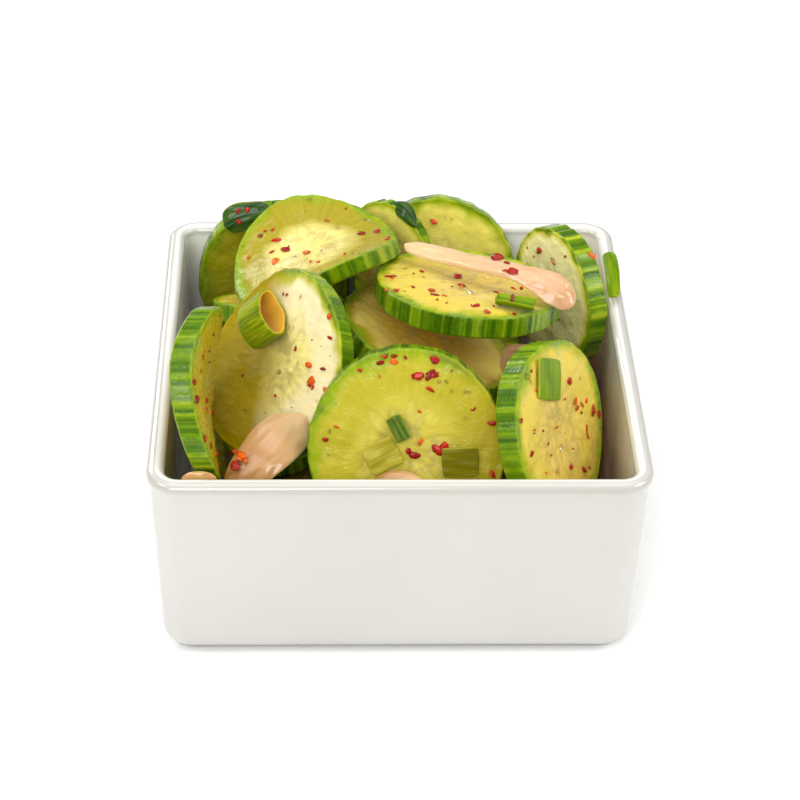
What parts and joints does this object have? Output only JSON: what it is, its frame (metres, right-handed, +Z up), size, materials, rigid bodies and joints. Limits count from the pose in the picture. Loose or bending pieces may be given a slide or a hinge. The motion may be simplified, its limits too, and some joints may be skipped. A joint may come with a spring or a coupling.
{
  "type": "bowl of cucumber salad",
  "caption": "Small square white porcelain bowl heaped with dressed cucumber slices, onion petals and scallion, standing on its foot.",
  "frame": {"origin": "middle of the bowl's underside, at the height of its foot", "axes": "+Z up, -Y the side that the heap faces, +X to the right of a viewer at -Y"},
  "size_m": [0.1098, 0.1098, 0.0756],
  "materials": {
    "white_glaze": "clear glossy glaze over warm white porcelain",
    "cucumber": "wet dressed cucumber flesh with a striped green skin",
    "onion": "wet translucent pink and cream onion",
    "scallion": "wet green leaf",
    "salad_bed": "wet mixed salad in dressing"
  },
  "bodies": {
    "root": {"bowl": "white_glaze", "onion_corner": "onion", "onion_front": "onion", "onion_front_left": "onion", "onion_gap": "onion", "onion_over_top": "onion", "salad_bed": "salad_bed", "scallion_back_left": "scallion", "scallion_front_right": "scallion", "scallion_left": "scallion", "scallion_olive": "scallion", "scallion_oval": "scallion", "scallion_pale": "scallion", "scallion_right_back": "scallion", "scallion_top": "scallion", "slice_back": "cucumber", "slice_back_left": "cucumber", "slice_back_tip": "cucumber", "slice_far_left": "cucumber", "slice_front": "cucumber", "slice_front_right": "cucumber", "slice_inner_back": "cucumber", "slice_inner_right": "cucumber", "slice_left_curled": "cucumber", "slice_right_back": "cucumber", "slice_top": "cucumber", "slice_under_top": "cucumber", "slice_upper_left": "cucumber"}
  },
  "joints": []
}
